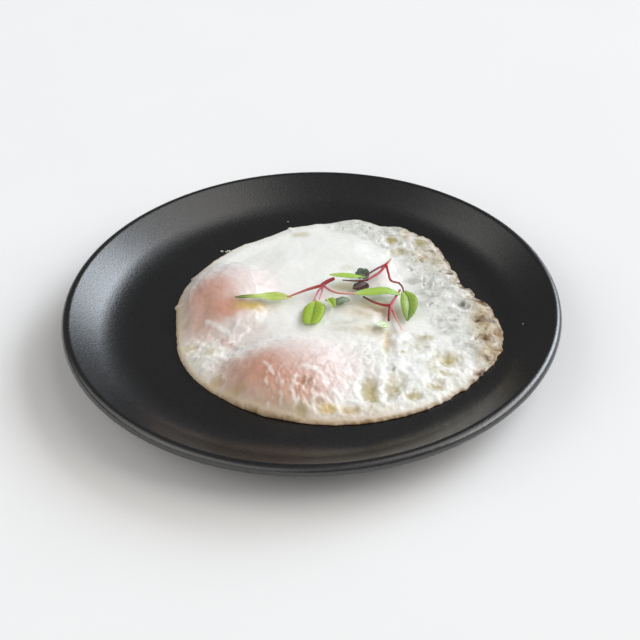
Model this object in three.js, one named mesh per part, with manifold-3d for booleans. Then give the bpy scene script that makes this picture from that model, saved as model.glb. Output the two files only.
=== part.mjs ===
// Two fried eggs that set as one sheet of white, served on a black coupe plate
// and dressed with three sprigs of red-stemmed microgreens.
//
// Millimetres, +Z up. The origin is the middle of the plate's foot, on the table.
// +X is the diner's right and +Y points away from the diner.
import * as THREE from "three";
import Module from "manifold-3d";
import { mergeVertices } from "three/addons/utils/BufferGeometryUtils.js";

const wasm = await Module();
wasm.setup();

// ---------------------------------------------------------------- driving dimensions

const PLATE_RADIUS = 110;
const PLATE_HEIGHT = 20;
const LIP_RADIUS = 2.6;
const WELL_HEIGHT = 8;
const WELL_BEND_RADIUS = 88;
const WALL_BEND = 28;
const WALL_SLOPE = THREE.MathUtils.degToRad(33);
const FOOT_RADIUS = 60;
const FOOT_WIDTH = 4.8;
const FOOT_FILLET = 0.8;
const PLATE_SEGMENTS = 72;

const SEAT_GAP = 0.3;

const EGG_CENTRE = { x: 11.5, y: 4 };
const EGG_RADIUS = 76.2;
const EGG_RINGS = 24;
const EGG_SECTORS = 6;
const RIM_ROUND = 2.4;
const RIM_SHARE = 0.985;
const SEAT_SHARE = 0.9;
const EDGE_THICKNESS = 0.5;
const THINNEST_WHITE = 1.4;

const YOLK_FLOOR = 1.6;
const YOLK_SIDE = 4.2;
const YOLK_REACH = 0.86;
const PLUG_TOP = WELL_HEIGHT + 30;
const PLUG_SEGMENTS = 32;
const PLUG_RINGS = 3;

const STEM_SIDES = 6;
const STEM_STEP = 2.4;
const LEAF_THICKNESS = 0.5;
const LEAF_STATIONS = 9;
const LEAF_COLUMNS = 4;
const LEAF_TIP = 0.2;
const LEAF_SKEW = 0.8;
const LEAF_FULLNESS = 0.75;
const GARNISH_CLEARANCE = 0.5;

// ---------------------------------------------------------------- small helpers

function material(name, color, roughness, metalness = 0) {
  const made = new THREE.MeshStandardMaterial({ color, roughness, metalness });
  made.name = name;
  return made;
}

const stoneware = material("black_stoneware", "#26262a", 0.45);
const setWhite = material("egg_white", "#f1efe6", 0.5);
const filmedYolk = material("filmed_yolk", "#e8b7a2", 0.45);
const redStem = material("red_stem", "#b3404a", 0.4);
const greenLeaf = material("green_leaf", "#8db43c", 0.45);
const darkLeaf = material("dark_leaf", "#5c6350", 0.5);

function seededRandom(seed) {
  let state = seed;
  return () => {
    state = (state + 0x6d2b79f5) | 0;
    let t = Math.imul(state ^ (state >>> 15), 1 | state);
    t = (t + Math.imul(t ^ (t >>> 7), 61 | t)) ^ t;
    return ((t ^ (t >>> 14)) >>> 0) / 4294967296;
  };
}

function smoothstep(low, high, value) {
  const t = THREE.MathUtils.clamp((value - low) / (high - low), 0, 1);
  return t * t * (3 - 2 * t);
}

// The larger of two values, rounded where they meet.
function smoothMax(a, b, blend) {
  return (a + b + Math.hypot(a - b, blend)) / 2;
}

// The angle between two directions in degrees, the short way round.
function turnBetween(a, b) {
  return Math.abs(((((a - b) % 360) + 540) % 360) - 180);
}

function toSolid(geometry) {
  const bare = geometry.clone();
  bare.deleteAttribute("normal");
  bare.deleteAttribute("uv");
  const merged = mergeVertices(bare, 1e-4);
  return new wasm.Manifold(
    new wasm.Mesh({
      numProp: 3,
      vertProperties: new Float32Array(merged.attributes.position.array),
      triVerts: new Uint32Array(merged.index.array),
    }),
  );
}

function fromSolid(solid) {
  const mesh = solid.getMesh();
  const geometry = new THREE.BufferGeometry();
  geometry.setAttribute("position", new THREE.BufferAttribute(mesh.vertProperties.slice(), 3));
  geometry.setIndex(new THREE.BufferAttribute(mesh.triVerts.slice(), 1));
  geometry.computeVertexNormals();
  return geometry;
}

function named(name, geometry, finish) {
  const mesh = new THREE.Mesh(geometry, finish);
  mesh.name = name;
  return mesh;
}

// ---------------------------------------------------------------- plate

const bendReach = WALL_BEND * Math.tan(WALL_SLOPE / 2);
const bendStart = WELL_BEND_RADIUS - bendReach;
const bendEnd = WELL_BEND_RADIUS + bendReach * Math.cos(WALL_SLOPE);

// Height of the plate's upper face at a distance from its axis.
function plateTop(radius) {
  if (radius < bendStart) return WELL_HEIGHT;
  if (radius < bendEnd) {
    return WELL_HEIGHT + WALL_BEND - Math.sqrt(WALL_BEND ** 2 - (radius - bendStart) ** 2);
  }
  return WELL_HEIGHT + (radius - WELL_BEND_RADIUS) * Math.tan(WALL_SLOPE);
}

function arcPoints(centreR, centreZ, radius, from, to, steps) {
  const points = [];
  for (let i = 0; i <= steps; i += 1) {
    const angle = THREE.MathUtils.degToRad(from + ((to - from) * i) / steps);
    points.push(new THREE.Vector2(centreR + radius * Math.cos(angle), centreZ + radius * Math.sin(angle)));
  }
  return points;
}

function plateGeometry() {
  const thickness = 2 * LIP_RADIUS;
  const under = WELL_HEIGHT - thickness;
  const slope = THREE.MathUtils.radToDeg(WALL_SLOPE);
  const bendZ = WELL_HEIGHT + WALL_BEND;
  const lipR = PLATE_RADIUS - LIP_RADIUS;
  const lipZ = PLATE_HEIGHT - LIP_RADIUS;
  const footIn = FOOT_RADIUS - FOOT_WIDTH / 2;
  const footOut = FOOT_RADIUS + FOOT_WIDTH / 2;
  const profile = [
    new THREE.Vector2(0, under),
    new THREE.Vector2(footIn - FOOT_FILLET, under),
    new THREE.Vector2(footIn, 0),
    new THREE.Vector2(footOut, 0),
    new THREE.Vector2(footOut + FOOT_FILLET, under),
    ...arcPoints(bendStart, bendZ, WALL_BEND + thickness, -90, slope - 90, 4),
    ...arcPoints(lipR, lipZ, LIP_RADIUS, slope - 90, 0, 3),
    ...arcPoints(lipR, lipZ, LIP_RADIUS, 0, slope + 90, 5).slice(1),
    ...arcPoints(bendStart, bendZ, WALL_BEND, slope - 90, -90, 5),
    new THREE.Vector2(0, WELL_HEIGHT),
  ];
  return new THREE.LatheGeometry(profile, PLATE_SEGMENTS).rotateX(Math.PI / 2);
}

// ---------------------------------------------------------------- outline and relief of the eggs

// Swells and notches of the outline: where, how far to each side, and how much.
const OUTLINE_SWELLS = [
  { at: 24, reach: 24, by: -13.5 },
  { at: 140, reach: 45, by: -4 },
  { at: 187, reach: 14, by: -2.5 },
];
const CRAG_WAVES = [
  { count: 31, by: 0.5, phase: 0.4 },
  { count: 47, by: 0.45, phase: 2.1 },
];
const CRAG_LEAST = 0.3;
const LACE_MIDDLE = 5;
const LACE_REACH = 75;
const LACE_CORE = 45;

function outlineRadius(degrees) {
  let radius = EGG_RADIUS;
  for (const { at, reach, by } of OUTLINE_SWELLS) {
    radius += by * Math.exp(-((turnBetween(degrees, at) / reach) ** 2));
  }
  const lace = 1 - smoothstep(LACE_CORE, LACE_REACH, turnBetween(degrees, LACE_MIDDLE));
  for (const { count, by, phase } of CRAG_WAVES) {
    radius += by * (CRAG_LEAST + lace) * Math.sin(THREE.MathUtils.degToRad(degrees * count) + phase);
  }
  return radius;
}

// Thickness of the sheet of white, then the thick white that lies on it.
const SHEET_THICKNESS = 2.4;
const THICK_WHITE = [
  { x: 2, y: 19, rx: 43, ry: 49, by: 2.6, soft: 0.2 },
  { x: 38, y: -35, rx: 38, ry: 34, by: 1.6, soft: 0.8 },
  { x: -18, y: -11, rx: 56, ry: 68, by: 2.2, soft: 0.4 },
];

const YOLKS = [
  { name: "yolk_left", x: -36, y: 12.5, rx: 26, ry: 32, by: 11.2 },
  { name: "yolk_front", x: -11, y: -40, rx: 31, ry: 28.5, by: 10.8 },
];
const YOLK_FULLNESS = 1.2;
const YOLK_BASE = 2.6;
const YOLK_BLEND = 1.6;
const YOLK_FADE = [0.9, 1.15];

// Dents where steam lifted the white, by the middle, the half-widths, a turn and the depth.
const DENTS = [
  { x: 25, y: -53, rx: 5, ry: 7, turn: 20, by: 1.3 },
  { x: 35, y: -46, rx: 4.5, ry: 8, turn: -15, by: 1.4 },
  { x: 60, y: -34, rx: 4.5, ry: 5.5, turn: 20, by: 1.2 },
  { x: 57, y: -43, rx: 3.5, ry: 3, turn: 0, by: 0.8 },
  { x: 45, y: -17.5, rx: 4.5, ry: 3, turn: 0, by: 0.9 },
  { x: 51, y: -28, rx: 5, ry: 4, turn: 0, by: 0.8 },
  { x: 15.5, y: -63, rx: 4, ry: 3.5, turn: 0, by: 0.9 },
  { x: 5, y: -63.5, rx: 3.5, ry: 3.5, turn: 0, by: 0.9 },
  { x: 52, y: 55, rx: 5, ry: 5, turn: 0, by: 1 },
  { x: 42, y: 47, rx: 5, ry: 4, turn: 0, by: 0.9 },
  { x: 39, y: 58, rx: 3.5, ry: 3.5, turn: 0, by: 1 },
  { x: 10, y: -5, rx: 14, ry: 5, turn: 0, by: 0.9 },
  { x: 33.5, y: -25, rx: 2.8, ry: 14, turn: 0, by: 0.8 },
  { x: 67.5, y: 6.5, rx: 3, ry: 3, turn: 0, by: 1.1 },
  { x: -37, y: -26, rx: 4, ry: 3.5, turn: 0, by: 0.8 },
  { x: -50, y: -24, rx: 3.5, ry: 3, turn: 0, by: 0.9 },
];

// Folds and strands that stand up from the white, from end to end.
const FOLDS = [
  { from: [-36, -19], to: [-24, -1], width: 3.5, by: 1 },
  { from: [28, -59], to: [30, -43], width: 2.4, by: 0.8 },
  { from: [-46, -39], to: [-44, -27], width: 4, by: 1.1 },
  { from: [36, -37], to: [38.5, -16], width: 2.2, by: 0.6 },
];

// Low lumps and hollows scattered over the lacy white: where they lie as shares of the
// outline's radius, their half-widths, and how high and how deep.
const LACE_LUMPS = 46;
const LACE_SEED = 11;
const LUMP_BAND = [0.62, 0.96];
const LUMP_WIDTHS = [2.4, 4.6];
const LUMP_HEIGHTS = [-0.495, 0.605];

function laceLumps() {
  const random = seededRandom(LACE_SEED);
  const between = ([low, high]) => THREE.MathUtils.lerp(low, high, random());
  const lumps = [];
  for (let i = 0; i < LACE_LUMPS; i += 1) {
    const bearing = LACE_MIDDLE + (2 * random() - 1) * LACE_REACH;
    const share = between(LUMP_BAND);
    const angle = THREE.MathUtils.degToRad(bearing);
    const reach = outlineRadius(bearing) * share;
    lumps.push({
      x: EGG_CENTRE.x + reach * Math.cos(angle),
      y: EGG_CENTRE.y + reach * Math.sin(angle),
      rx: between(LUMP_WIDTHS),
      ry: between(LUMP_WIDTHS),
      turn: 180 * random(),
      by: between(LUMP_HEIGHTS),
    });
  }
  return lumps;
}

const LACE = laceLumps();

function spotDistance(spot, x, y) {
  const angle = THREE.MathUtils.degToRad(spot.turn ?? 0);
  const dx = x - spot.x;
  const dy = y - spot.y;
  const along = dx * Math.cos(angle) + dy * Math.sin(angle);
  const across = dy * Math.cos(angle) - dx * Math.sin(angle);
  return Math.hypot(along / spot.rx, across / spot.ry);
}

function foldDistance(fold, x, y) {
  const [x0, y0] = fold.from;
  const dx = fold.to[0] - x0;
  const dy = fold.to[1] - y0;
  const share = THREE.MathUtils.clamp(((x - x0) * dx + (y - y0) * dy) / (dx * dx + dy * dy), 0, 1);
  return Math.hypot(x - x0 - share * dx, y - y0 - share * dy) / fold.width;
}

// Thickness of the eggs over a point of the plate.
function eggThickness(x, y) {
  let thick = SHEET_THICKNESS;
  for (const patch of THICK_WHITE) {
    thick += patch.by * (1 - smoothstep(1 - patch.soft, 1, spotDistance(patch, x, y)));
  }
  for (const yolk of YOLKS) {
    const reach = spotDistance(yolk, x, y);
    const dome = YOLK_BASE + yolk.by * (1 - Math.min(reach, 1) ** 2) ** YOLK_FULLNESS;
    thick = smoothMax(thick, dome, YOLK_BLEND * (1 - smoothstep(...YOLK_FADE, reach)));
  }
  for (const dent of DENTS) thick -= dent.by * Math.exp(-(spotDistance(dent, x, y) ** 2));
  for (const fold of FOLDS) thick += fold.by * Math.exp(-(foldDistance(fold, x, y) ** 2));
  for (const lump of LACE) thick += lump.by * Math.exp(-(spotDistance(lump, x, y) ** 2));
  const dx = x - EGG_CENTRE.x;
  const dy = y - EGG_CENTRE.y;
  const bearing = THREE.MathUtils.radToDeg(Math.atan2(dy, dx));
  const inward = outlineRadius(bearing) - Math.hypot(dx, dy);
  const roundOff = 1 - THREE.MathUtils.clamp(inward / RIM_ROUND, 0, 1);
  const body = Math.max(thick, THINNEST_WHITE) - EDGE_THICKNESS;
  return EDGE_THICKNESS + body * Math.sqrt(1 - roundOff * roundOff);
}

function eggTop(x, y) {
  return plateTop(Math.hypot(x, y)) + SEAT_GAP + eggThickness(x, y);
}

// ---------------------------------------------------------------- the eggs as one solid, then cut apart

function eggPoint(bearing, share, height) {
  const angle = THREE.MathUtils.degToRad(bearing);
  const reach = outlineRadius(bearing) * share;
  const x = EGG_CENTRE.x + reach * Math.cos(angle);
  const y = EGG_CENTRE.y + reach * Math.sin(angle);
  return [x, y, height(x, y)];
}

// Joins two rings of the same share of a turn, whatever their counts, as a strip of triangles.
function stitch(indices, outer, inner) {
  let i = 0;
  let j = 0;
  while (i < outer.length || j < inner.length) {
    const a = outer[i % outer.length];
    const b = inner[j % inner.length];
    const outerNext = (i + 1) / outer.length;
    const innerNext = (j + 1) / inner.length;
    if (outerNext <= innerNext) {
      indices.push(a, outer[(i + 1) % outer.length], b);
      i += 1;
    } else {
      indices.push(a, inner[(j + 1) % inner.length], b);
      j += 1;
    }
  }
}

function eggGeometry() {
  const positions = [];
  const indices = [];
  function ring(count, share, height) {
    const made = [];
    for (let i = 0; i < count; i += 1) {
      made.push(positions.length / 3);
      positions.push(...eggPoint((360 * i) / count, share, height));
    }
    return made;
  }
  const underside = (x, y) => plateTop(Math.hypot(x, y)) + SEAT_GAP;
  const rimCount = EGG_SECTORS * EGG_RINGS;
  let inner = ring(1, 0, eggTop);
  for (let k = 1; k < EGG_RINGS; k += 1) {
    const outer = ring(EGG_SECTORS * k, (RIM_SHARE * k) / (EGG_RINGS - 1), eggTop);
    stitch(indices, outer, inner);
    inner = outer;
  }
  const rim = ring(rimCount, 1, eggTop);
  stitch(indices, rim, inner);
  const foot = ring(rimCount, RIM_SHARE, underside);
  stitch(indices, foot, rim);
  const seat = ring(rimCount / 3, SEAT_SHARE, underside);
  stitch(indices, seat, foot);
  const middle = ring(1, 0, underside);
  stitch(indices, middle, seat);
  const geometry = new THREE.BufferGeometry();
  geometry.setAttribute("position", new THREE.Float32BufferAttribute(positions, 3));
  geometry.setIndex(indices);
  return geometry;
}

// A bowl-bottomed plug that stands through the egg where a yolk lies.
function yolkPlug(yolk, grow) {
  const floor = WELL_HEIGHT + SEAT_GAP + YOLK_FLOOR - grow;
  const side = WELL_HEIGHT + SEAT_GAP + YOLK_SIDE - grow;
  const profile = [new THREE.Vector2(0, floor)];
  for (let i = 1; i <= PLUG_RINGS; i += 1) {
    const reach = i / PLUG_RINGS;
    profile.push(new THREE.Vector2(reach * YOLK_REACH, floor + (side - floor) * reach ** 4));
  }
  profile.push(new THREE.Vector2(YOLK_REACH, PLUG_TOP), new THREE.Vector2(0, PLUG_TOP));
  const plug = new THREE.LatheGeometry(profile, PLUG_SEGMENTS).rotateX(Math.PI / 2);
  plug.scale(yolk.rx + grow / YOLK_REACH, yolk.ry + grow / YOLK_REACH, 1);
  return toSolid(plug.translate(yolk.x, yolk.y, 0));
}

function buildEggs() {
  const group = new THREE.Group();
  const whole = toSolid(eggGeometry());
  let white = whole;
  for (const yolk of YOLKS) {
    group.add(named(yolk.name, fromSolid(whole.intersect(yolkPlug(yolk, 0))), filmedYolk));
    white = white.subtract(yolkPlug(yolk, SEAT_GAP));
  }
  group.add(named("egg_white", fromSolid(white), setWhite));
  return group;
}

// ---------------------------------------------------------------- microgreens

// Every stem runs through points given as x, y and its clearance over the eggs.
const SPRIGS = [
  {
    name: "sprig_a_stem",
    stems: [
      { radius: 0.95, path: [[10.1, 15.6, 3.4], [7.6, 14.2, 3], [5.4, 12.7, 2.4]] },
      { radius: 0.7, path: [[5.4, 12.7, 2.4], [-1.4, 9.6, 2.4], [-8.5, 5.9, 1.6]] },
      { radius: 0.5, path: [[5.4, 12.7, 2.4], [3, 8.5, 1.8], [1.4, 5.2, 0.9]] },
      { radius: 0.5, path: [[5.4, 12.7, 2.4], [4.9, 9.3, 1.8], [4, 6, 0.9]] },
      { radius: 0.55, path: [[5.4, 12.7, 2.4], [8.6, 8.6, 2.4], [12, 7.4, 1.8], [17.3, 7.3, 1.6]] },
    ],
  },
  {
    name: "sprig_b_stem",
    stems: [
      { radius: 0.6, path: [[37.2, 38.7, 1.2], [36.2, 35, 1.8], [34.7, 31.1, 2.4]] },
      { radius: 0.6, path: [[34.7, 31.1, 2.4], [30.4, 27, 3], [26.3, 22.4, 3.2]] },
      { radius: 0.6, path: [[34.7, 31.1, 2.4], [31.6, 25.4, 2.2], [26.6, 19.4, 2.6]] },
      { radius: 0.6, path: [[34.7, 31.1, 2.4], [35.3, 23, 3.2], [36.3, 16.9, 3.2], [39.9, 17.5, 2.4]] },
      { radius: 0.5, path: [[39.9, 17.5, 2.4], [41.2, 15.2, 2.6], [41.6, 12.9, 2.6]] },
    ],
  },
  {
    name: "sprig_c_stem",
    stems: [
      { radius: 0.6, path: [[40.1, 13.8, 1.2], [37.2, 6.6, 0.8], [35.2, 2, 0.6]] },
      { radius: 0.6, path: [[35.2, 2, 0.6], [31.4, 2.2, 0.5], [27.6, 3.8, 0.5], [23.4, 7.4, 0.3]] },
      { radius: 0.85, path: [[35.2, 2, 0.6], [34.7, -1.4, 0.5], [34.2, -5.2, 0.3]] },
      { radius: 0.55, path: [[35.2, 2, 0.6], [37, -3.4, 0.5], [38.4, -8.4, 0.5], [39.6, -13.8, 0.2]] },
    ],
  },
];

// A leaf's rib is given like a stem. Roll turns it about the rib, and fold closes it like a book.
const LEAVES = [
  {
    name: "leaf_a_long",
    rib: [[-9.4, 5.5, 1.6], [-18.3, 5, 1.8], [-26, 2, 1.4], [-33.7, 1, 0.8]],
    width: 5.6, roll: 8, fold: 20, finish: greenLeaf,
  },
  {
    name: "leaf_a_heart",
    rib: [[1.9, 4, 0.7], [1.3, -2.8, 1.5], [-0.4, -12.6, 0.3]],
    width: 9.8, roll: -6, fold: 14, finish: greenLeaf,
  },
  {
    name: "leaf_a_right",
    rib: [[18.4, 7.3, 1.8], [26, 8.4, 2.6], [34, 9.8, 2.9], [40, 9.8, 2.2]],
    width: 7.2, roll: 10, fold: 18, finish: greenLeaf,
  },
  {
    name: "leaf_b_top",
    rib: [[24.4, 20, 3.2], [17.5, 19.4, 3.7], [8.4, 19.6, 3.6]],
    width: 5.8, roll: -16, fold: 16, finish: greenLeaf,
  },
  {
    name: "leaf_b_grey",
    rib: [[26.4, 24.6, 0.4], [23.4, 25.2, 1.2], [20.6, 23.6, 0.6]],
    width: 6, roll: 30, fold: 34, finish: darkLeaf,
  },
  {
    name: "leaf_b_dark",
    rib: [[25.6, 17.2, 1.6], [22.6, 14.6, 1.2], [18.8, 13, 0.8]],
    width: 6.4, roll: 4, fold: 26, finish: darkLeaf,
  },
  {
    name: "leaf_b_lobed",
    rib: [[41.6, 11.9, 2.6], [43.3, 7.4, 3], [43.5, 1.3, 2.6], [42.3, -6.2, 0.6]],
    width: 8, roll: 0, fold: 24, finish: greenLeaf,
  },
  {
    name: "leaf_c_pale",
    rib: [[33.4, -9.2, 0.3], [31.2, -10.9, 0.7], [28.4, -12.2, 0.3]],
    width: 5.4, roll: 0, fold: 16, finish: greenLeaf,
  },
  {
    name: "leaf_c_curl",
    rib: [[6.6, 4, 0.4], [8.3, 2.2, 1.2], [10, -0.8, 0.3]],
    width: 4.6, roll: 12, fold: 40, finish: greenLeaf,
  },
  {
    name: "leaf_c_grey",
    rib: [[11.3, 1.3, 0.3], [13.6, 3.1, 0.9], [17.3, 4.1, 0.5]],
    width: 6, roll: 8, fold: 22, finish: darkLeaf,
  },
];

// A point at a clearance over the eggs, never lower than what keeps its body off them.
function overEggs(x, y, clearance, halfBody) {
  return new THREE.Vector3(x, y, eggTop(x, y) + GARNISH_CLEARANCE + clearance + halfBody);
}

function keepOff(point, halfBody) {
  point.z = Math.max(point.z, eggTop(point.x, point.y) + GARNISH_CLEARANCE + halfBody);
  return point;
}

function stemSolid({ radius, path }) {
  const rough = new THREE.CatmullRomCurve3(path.map(([x, y, clearance]) => overEggs(x, y, clearance, radius)));
  const steps = Math.max(3, Math.round(rough.getLength() / STEM_STEP));
  const settled = rough.getSpacedPoints(steps).map((point) => keepOff(point, radius));
  const section = new THREE.Shape();
  for (let i = 0; i < STEM_SIDES; i += 1) {
    const angle = (2 * Math.PI * i) / STEM_SIDES;
    const corner = [radius * Math.cos(angle), radius * Math.sin(angle)];
    if (i === 0) section.moveTo(...corner);
    else section.lineTo(...corner);
  }
  const extrudePath = new THREE.CatmullRomCurve3(settled);
  return toSolid(new THREE.ExtrudeGeometry(section, { steps, extrudePath, curveSegments: 1 }));
}

function stemsGeometry(stems) {
  const [first, ...others] = stems.map(stemSolid);
  return fromSolid(others.reduce((joined, stem) => joined.add(stem), first));
}

function leafGeometry({ rib, width, roll, fold }) {
  const rows = LEAF_STATIONS;
  const columns = LEAF_COLUMNS;
  const half = LEAF_THICKNESS / 2;
  const curve = new THREE.CatmullRomCurve3(rib.map(([x, y, clearance]) => overEggs(x, y, clearance, half)));
  const up = new THREE.Vector3(0, 0, 1);
  const faces = [[], []];
  for (let i = 0; i <= rows; i += 1) {
    const share = i / rows;
    const tangent = curve.getTangentAt(share);
    const across = new THREE.Vector3().crossVectors(tangent, up).normalize();
    const out = new THREE.Vector3().crossVectors(across, tangent);
    across.applyAxisAngle(tangent, THREE.MathUtils.degToRad(roll));
    out.applyAxisAngle(tangent, THREE.MathUtils.degToRad(roll));
    const reach = LEAF_TIP + (width / 2) * Math.sin(Math.PI * share ** LEAF_SKEW) ** LEAF_FULLNESS;
    for (let j = 0; j <= columns; j += 1) {
      const side = (2 * j) / columns - 1;
      const lift = Math.abs(side) * reach * Math.tan(THREE.MathUtils.degToRad(fold));
      const middle = curve.getPointAt(share);
      middle.addScaledVector(across, side * reach).addScaledVector(out, lift);
      keepOff(middle, half);
      faces[0].push(middle.clone().addScaledVector(out, half));
      faces[1].push(middle.clone().addScaledVector(out, -half));
    }
  }
  const perFace = faces[0].length;
  const positions = faces.flat().flatMap((point) => point.toArray());
  const indices = [];
  const quad = (a, b, c, d) => indices.push(a, b, c, a, c, d);
  const at = (i, j) => i * (columns + 1) + j;
  for (let i = 0; i < rows; i += 1) {
    for (let j = 0; j < columns; j += 1) {
      const [a, b, c, d] = [at(i, j), at(i, j + 1), at(i + 1, j + 1), at(i + 1, j)];
      quad(a, b, c, d);
      indices.push(perFace + a, perFace + c, perFace + b, perFace + a, perFace + d, perFace + c);
    }
    quad(at(i, 0), at(i + 1, 0), perFace + at(i + 1, 0), perFace + at(i, 0));
    quad(at(i + 1, columns), at(i, columns), perFace + at(i, columns), perFace + at(i + 1, columns));
  }
  for (let j = 0; j < columns; j += 1) {
    quad(at(0, j + 1), at(0, j), perFace + at(0, j), perFace + at(0, j + 1));
    quad(at(rows, j), at(rows, j + 1), perFace + at(rows, j + 1), perFace + at(rows, j));
  }
  const geometry = new THREE.BufferGeometry();
  geometry.setAttribute("position", new THREE.Float32BufferAttribute(positions, 3));
  geometry.setIndex(indices);
  return geometry;
}

function buildGarnish() {
  const group = new THREE.Group();
  for (const { name, stems } of SPRIGS) group.add(named(name, stemsGeometry(stems), redStem));
  for (const leaf of LEAVES) group.add(named(leaf.name, leafGeometry(leaf), leaf.finish));
  return group;
}

// ---------------------------------------------------------------- assembly

const friedEggs = new THREE.Group();
friedEggs.add(named("plate", plateGeometry(), stoneware));
friedEggs.add(buildEggs());
friedEggs.add(buildGarnish());

export default friedEggs;
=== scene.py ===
"""Two fried eggs on a black coupe plate, dressed with three sprigs of red-stemmed microgreens.

Lengths are millimetres until a mesh is made. +Z is up and +Y points away from the diner,
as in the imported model.
"""

from functools import partial
from math import cos, degrees, hypot, pi, radians, sin, tan, tau

import bpy
import numpy as np
from mathutils import Euler, Matrix, Vector


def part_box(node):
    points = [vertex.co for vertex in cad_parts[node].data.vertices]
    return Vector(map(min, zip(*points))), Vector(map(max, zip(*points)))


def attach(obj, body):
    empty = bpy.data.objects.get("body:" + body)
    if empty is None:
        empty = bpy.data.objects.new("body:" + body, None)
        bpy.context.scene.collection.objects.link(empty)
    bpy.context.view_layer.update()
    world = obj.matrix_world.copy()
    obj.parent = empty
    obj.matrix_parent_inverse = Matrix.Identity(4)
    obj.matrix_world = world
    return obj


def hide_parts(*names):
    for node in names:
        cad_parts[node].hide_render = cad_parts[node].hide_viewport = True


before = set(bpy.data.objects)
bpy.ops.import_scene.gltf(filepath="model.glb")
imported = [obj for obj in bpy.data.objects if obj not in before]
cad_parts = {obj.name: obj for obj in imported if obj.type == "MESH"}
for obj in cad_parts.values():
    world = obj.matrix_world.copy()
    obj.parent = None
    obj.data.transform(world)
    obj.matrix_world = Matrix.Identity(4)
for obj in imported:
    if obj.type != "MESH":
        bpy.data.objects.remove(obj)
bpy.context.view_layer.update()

MM = 0.001

# ---- driving dimensions

PLATE_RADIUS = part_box("plate")[1].x / MM
PLATE_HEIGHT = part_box("plate")[1].z / MM
LIP_RADIUS = 2.6
WELL_HEIGHT = 8
WELL_BEND_RADIUS = 88
WALL_BEND = 28
WALL_SLOPE = radians(33)
FOOT_RADIUS = 60
FOOT_WIDTH = 4.8
FOOT_FILLET = 0.8
PLATE_SEGMENTS = 240

SEAT_GAP = 0.3
EGG_LIFT = 0.03
EGG_CENTRE = (11.5, 4)
EGG_RADIUS = 76.2
EGG_RINGS = 160
EGG_SECTORS = 6
RIM_SHARE = 0.965
RIM_RINGS = 9
RIM_ROUND = 2.4
EDGE_THICKNESS = 0.5
LEAST_THICKNESS = 1.4
FINE_RIM_ROUND = 1.5
FINE_LEAST_THICKNESS = 0.9
RIM_UNDERCUT = 0.7
RIM_TAPER = 7

GARNISH_CLEARANCE = 0.5
LEAF_THICKNESS = 0.42

# ---- small helpers


def ramp(low, high, value):
    """0 before low and 1 past high, with a smooth step between."""
    t = np.clip((value - low) / (high - low), 0, 1)
    return t * t * (3 - 2 * t)


def smooth_max(a, b, blend):
    """The larger of two values, rounded where they meet."""
    return (a + b + np.hypot(a - b, blend)) / 2


def turn_from(a, b):
    """The angle between two directions in degrees, the short way round."""
    return np.abs((a - b + 180) % 360 - 180)


def linear(hex_colour):
    """A colour such as "f1efe6" as linear light."""
    levels = np.array([int(hex_colour[i:i + 2], 16) for i in (0, 2, 4)]) / 255
    return np.where(levels <= 0.04045, levels / 12.92, ((levels + 0.055) / 1.055) ** 2.4)


def seeded_random(seed):
    """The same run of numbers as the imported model's lace."""
    state = seed

    def draw():
        nonlocal state
        state = (state + 0x6D2B79F5) & 0xFFFFFFFF
        t = ((state ^ (state >> 15)) * (1 | state)) & 0xFFFFFFFF
        t = ((t + (t ^ (t >> 7)) * (61 | t)) & 0xFFFFFFFF) ^ t
        return (t ^ (t >> 14)) / 2 ** 32

    return draw


def cell_number(i, j, seed):
    """A repeatable number from 0 to 1 for each cell of a grid."""
    n = (i * 374761393 + j * 668265263 + seed * 974634777) & 0xFFFFFFFF
    n = ((n ^ (n >> 13)) * 1274126177) & 0xFFFFFFFF
    return ((n ^ (n >> 16)) & 0xFFFFFF) / 0xFFFFFF


def ripple(x, y, size, seed, stretch=1.0, turn=0.0):
    """Soft bumps from -1 to 1, each about size across, drawn out along one direction."""
    angle = radians(turn)
    u = (x * cos(angle) + y * sin(angle)) / (size * stretch)
    v = (y * cos(angle) - x * sin(angle)) / size
    i = np.floor(u).astype(np.int64)
    j = np.floor(v).astype(np.int64)
    total = np.zeros_like(u)
    for di in (0, 1):
        for dj in (0, 1):
            lean = tau * cell_number(i + di, j + dj, seed)
            du = u - i - di
            dv = v - j - dj
            fade = ramp(1, 0, np.abs(du)) * ramp(1, 0, np.abs(dv))
            total += fade * (np.cos(lean) * du + np.sin(lean) * dv)
    return 1.6 * total


def pits(x, y, size, seed, share, narrow=0.22, wide=0.5):
    """Round pits, at most one to a cell of a grid: 0 on the level, -1 at the bottom, with a low lip."""
    i = np.floor(x / size).astype(np.int64)
    j = np.floor(y / size).astype(np.int64)
    depth = np.zeros_like(x)
    for di in (-1, 0, 1):
        for dj in (-1, 0, 1):
            a, b = i + di, j + dj
            mid_x = (a + 0.2 + 0.6 * cell_number(a, b, seed + 1)) * size
            mid_y = (b + 0.2 + 0.6 * cell_number(a, b, seed + 2)) * size
            reach = size * (narrow + (wide - narrow) * cell_number(a, b, seed + 3))
            d = np.hypot(x - mid_x, y - mid_y) / reach
            bowl = 0.25 * np.exp(-((d - 1.15) / 0.3) ** 2) - ramp(1, 0.1, d)
            depth += np.where(cell_number(a, b, seed) < share, bowl, 0)
    return depth


def warped(x, y, seed, *pushes):
    """The point moved by ripples, each given as its reach and its size."""
    u, v = x, y
    for number, (by, size) in enumerate(pushes, seed):
        u = u + by * ripple(x, y, size, number)
        v = v + by * ripple(x, y, size, number + 2)
    return u, v


def spot_distance(x, y, mid_x, mid_y, rx, ry, turn=0.0):
    """Distance from the middle of an oval, 1 on its outline."""
    angle = radians(turn)
    dx, dy = x - mid_x, y - mid_y
    along = dx * cos(angle) + dy * sin(angle)
    across = dy * cos(angle) - dx * sin(angle)
    return np.hypot(along / rx, across / ry)


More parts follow.
